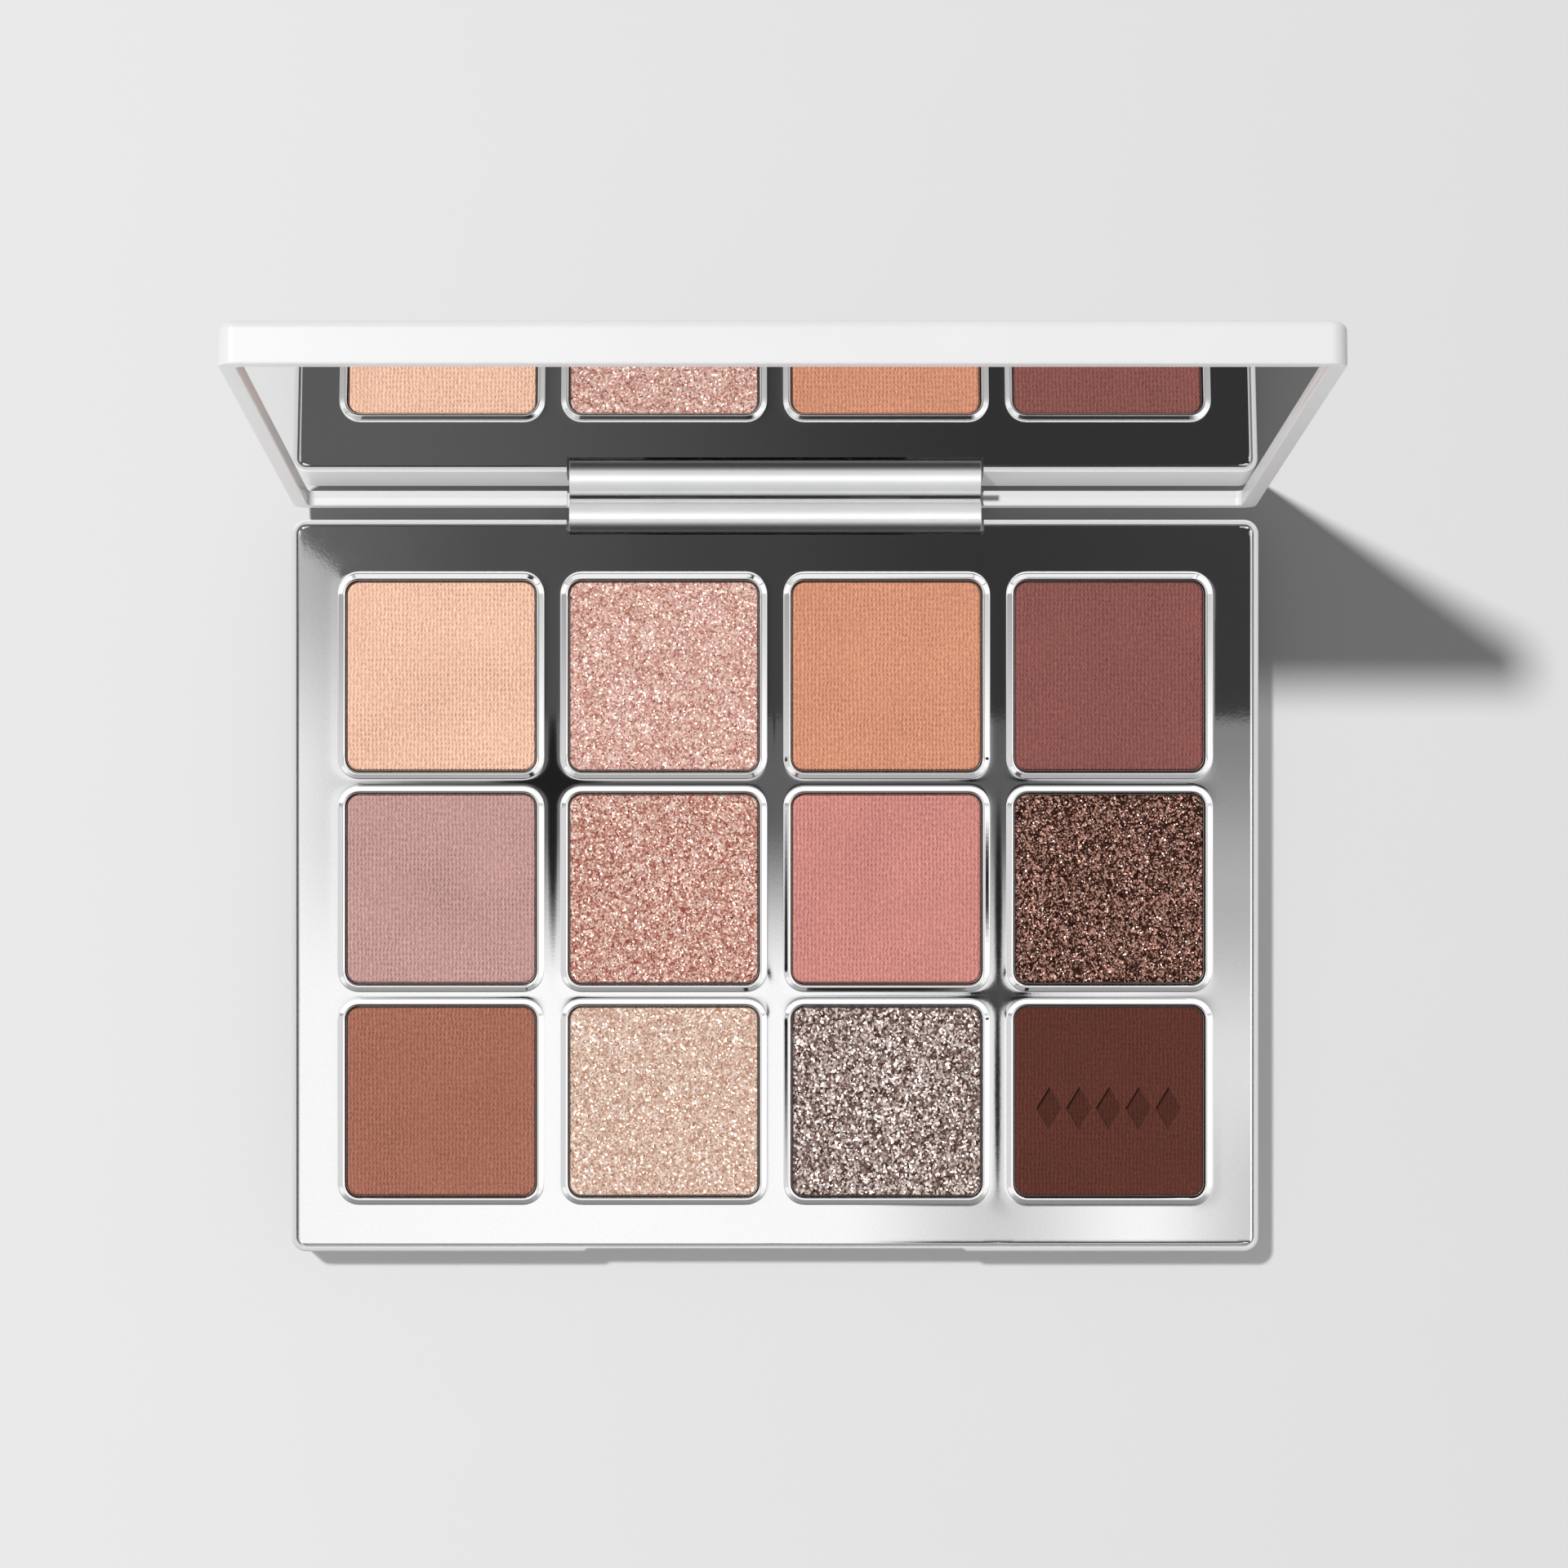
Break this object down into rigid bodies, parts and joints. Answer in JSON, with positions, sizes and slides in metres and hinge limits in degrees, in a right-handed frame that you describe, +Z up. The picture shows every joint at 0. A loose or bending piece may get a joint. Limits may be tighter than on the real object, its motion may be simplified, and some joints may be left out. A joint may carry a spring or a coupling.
{
  "type": "eyeshadow palette",
  "caption": "Rectangular eyeshadow palette: white shell, chrome tray with rows of square pressed-powder pans, and a full-size mirror in a lid on a central barrel hinge.",
  "frame": {"origin": "centre of the base's underside", "axes": "+X along the hinge barrel, +Y from the thumb notch to the hinge, +Z up from the surface that the base rests on; the lid is drawn open as it stands in use"},
  "size_m": [0.12, 0.1073, 0.0953],
  "materials": {
    "white_plastic": "white injection-moulded shell, satin to gloss",
    "tray_chrome": "satin metallised plastic",
    "barrel_chrome": "polished plated barrel",
    "pan_metal": "thin pressed tinplate",
    "steel": "plain drawn steel",
    "magnet": "nickel-plated magnet",
    "mirror": "back-silvered flat glass",
    "adhesive": "soft pressure-sensitive glue",
    "label": "matte blank label",
    "carrier_plastic": "matte moulded plate",
    "shadow_peach": "matte pressed powder",
    "shadow_pink_shimmer": "pressed powder with fine reflecting flakes",
    "shadow_tan": "matte pressed powder",
    "shadow_plum": "matte pressed powder",
    "shadow_mauve": "satin pressed powder",
    "shadow_rose_shimmer": "pressed powder with fine reflecting flakes",
    "shadow_coral": "matte pressed powder",
    "shadow_bronze_shimmer": "pressed powder with fine reflecting flakes",
    "shadow_terracotta": "matte pressed powder",
    "shadow_champagne_shimmer": "pressed powder with fine reflecting flakes",
    "shadow_silver_glitter": "pressed powder with fine reflecting flakes",
    "shadow_chocolate": "matte pressed powder with a plain embossed motif"
  },
  "bodies": {
    "base": {"base_shell": "white_plastic", "pan_tray": "tray_chrome", "hinge_bracket": "steel", "base_magnets": "magnet", "underside_label": "label", "pan_adhesive": "adhesive", "pan_1": "pan_metal", "pan_2": "pan_metal", "pan_3": "pan_metal", "pan_4": "pan_metal", "pan_5": "pan_metal", "pan_6": "pan_metal", "pan_7": "pan_metal", "pan_8": "pan_metal", "pan_9": "pan_metal", "pan_10": "pan_metal", "pan_11": "pan_metal", "pan_12": "pan_metal", "shadow_peach": "shadow_peach", "shadow_pink_shimmer": "shadow_pink_shimmer", "shadow_tan": "shadow_tan", "shadow_plum": "shadow_plum", "shadow_mauve": "shadow_mauve", "shadow_rose_shimmer": "shadow_rose_shimmer", "shadow_coral": "shadow_coral", "shadow_bronze_shimmer": "shadow_bronze_shimmer", "shadow_terracotta": "shadow_terracotta", "shadow_champagne_shimmer": "shadow_champagne_shimmer", "shadow_silver_glitter": "shadow_silver_glitter", "shadow_chocolate": "shadow_chocolate"},
    "lid": {"lid_cover": "white_plastic", "mirror_carrier": "carrier_plastic", "mirror_adhesive": "adhesive", "mirror": "mirror", "lid_magnets": "magnet", "hinge_barrel": "barrel_chrome", "hinge_pin": "steel"}
  },
  "joints": [
    {"name": "lid_hinge", "type": "hinge", "parent": "base", "child": "lid", "pos_m": [0, 0.0454, 0.0052], "axis": [-1, 0, 0], "range_deg": [-96.2, 18.8]}
  ]
}
